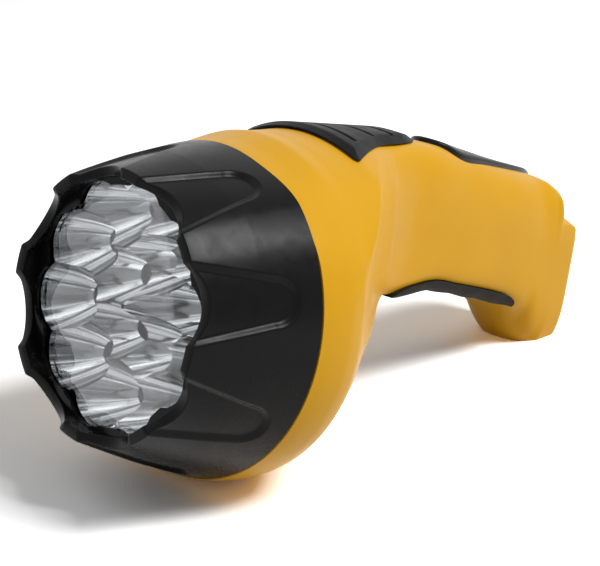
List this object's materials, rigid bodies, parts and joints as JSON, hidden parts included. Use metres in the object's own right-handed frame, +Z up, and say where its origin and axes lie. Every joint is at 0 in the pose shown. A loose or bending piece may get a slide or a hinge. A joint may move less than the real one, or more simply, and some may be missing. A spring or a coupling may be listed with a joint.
{
  "type": "rechargeable hand flashlight",
  "caption": "Hand flashlight with a fluted round head, a cupped reflector of light-emitting diodes, an arched carrying handle with a finger strip, a sliding switch and a charging inlet.",
  "frame": {"origin": "on the ground plane below the middle of the torch, where it stands on its bell and its foot", "axes": "-Y the way the beam points when the torch stands, +Z up, +X to the right of the person holding it"},
  "size_m": [0.0962, 0.2004, 0.0958],
  "materials": {
    "yellow_shell": "satin",
    "black_gloss": "satin",
    "black_rubber": "matte",
    "clear_lens": "gloss",
    "mirror_coat": "polished",
    "circuit_board": "satin",
    "led_epoxy": "gloss",
    "steel": "satin",
    "switch_case": "satin",
    "battery_case": "satin",
    "red_component": "gloss",
    "red_insulation": "satin",
    "black_insulation": "satin"
  },
  "bodies": {
    "torch_body": {"head_bezel": "black_gloss", "front_lens": "clear_lens", "lens_seal": "black_rubber", "reflector": "mirror_coat", "led_board": "circuit_board", "led_01": "led_epoxy", "led_02": "led_epoxy", "led_03": "led_epoxy", "led_04": "led_epoxy", "led_05": "led_epoxy", "led_06": "led_epoxy", "led_07": "led_epoxy", "led_08": "led_epoxy", "led_09": "led_epoxy", "led_10": "led_epoxy", "led_11": "led_epoxy", "led_12": "led_epoxy", "led_13": "led_epoxy", "led_14": "led_epoxy", "led_15": "led_epoxy", "housing_right": "yellow_shell", "housing_left": "yellow_shell", "switch_body": "switch_case", "top_pad": "black_gloss", "finger_strip": "black_rubber", "battery": "battery_case", "battery_terminal_positive": "steel", "battery_terminal_negative": "steel", "charging_pin_left": "steel", "charging_pin_right": "steel", "charging_inlet": "black_gloss", "charge_indicator": "red_component", "charging_board": "circuit_board", "charge_capacitor": "red_component", "charge_rectifier": "switch_case", "housing_screw_1": "steel", "housing_screw_2": "steel", "housing_screw_3": "steel", "housing_screw_4": "steel", "housing_screw_5": "steel", "switch_feed_wire": "red_insulation", "switch_lamp_wire": "red_insulation", "lamp_return_wire": "black_insulation", "charge_feed_wire": "red_insulation", "charge_return_wire": "black_insulation"},
    "switch_slider": {"switch_button": "black_gloss", "switch_lever": "steel"}
  },
  "joints": [
    {"name": "switch_slide", "type": "slide", "parent": "torch_body", "child": "switch_slider", "axis": [0, -0.9703, 0.2419], "range_m": [0, 0.004]}
  ]
}
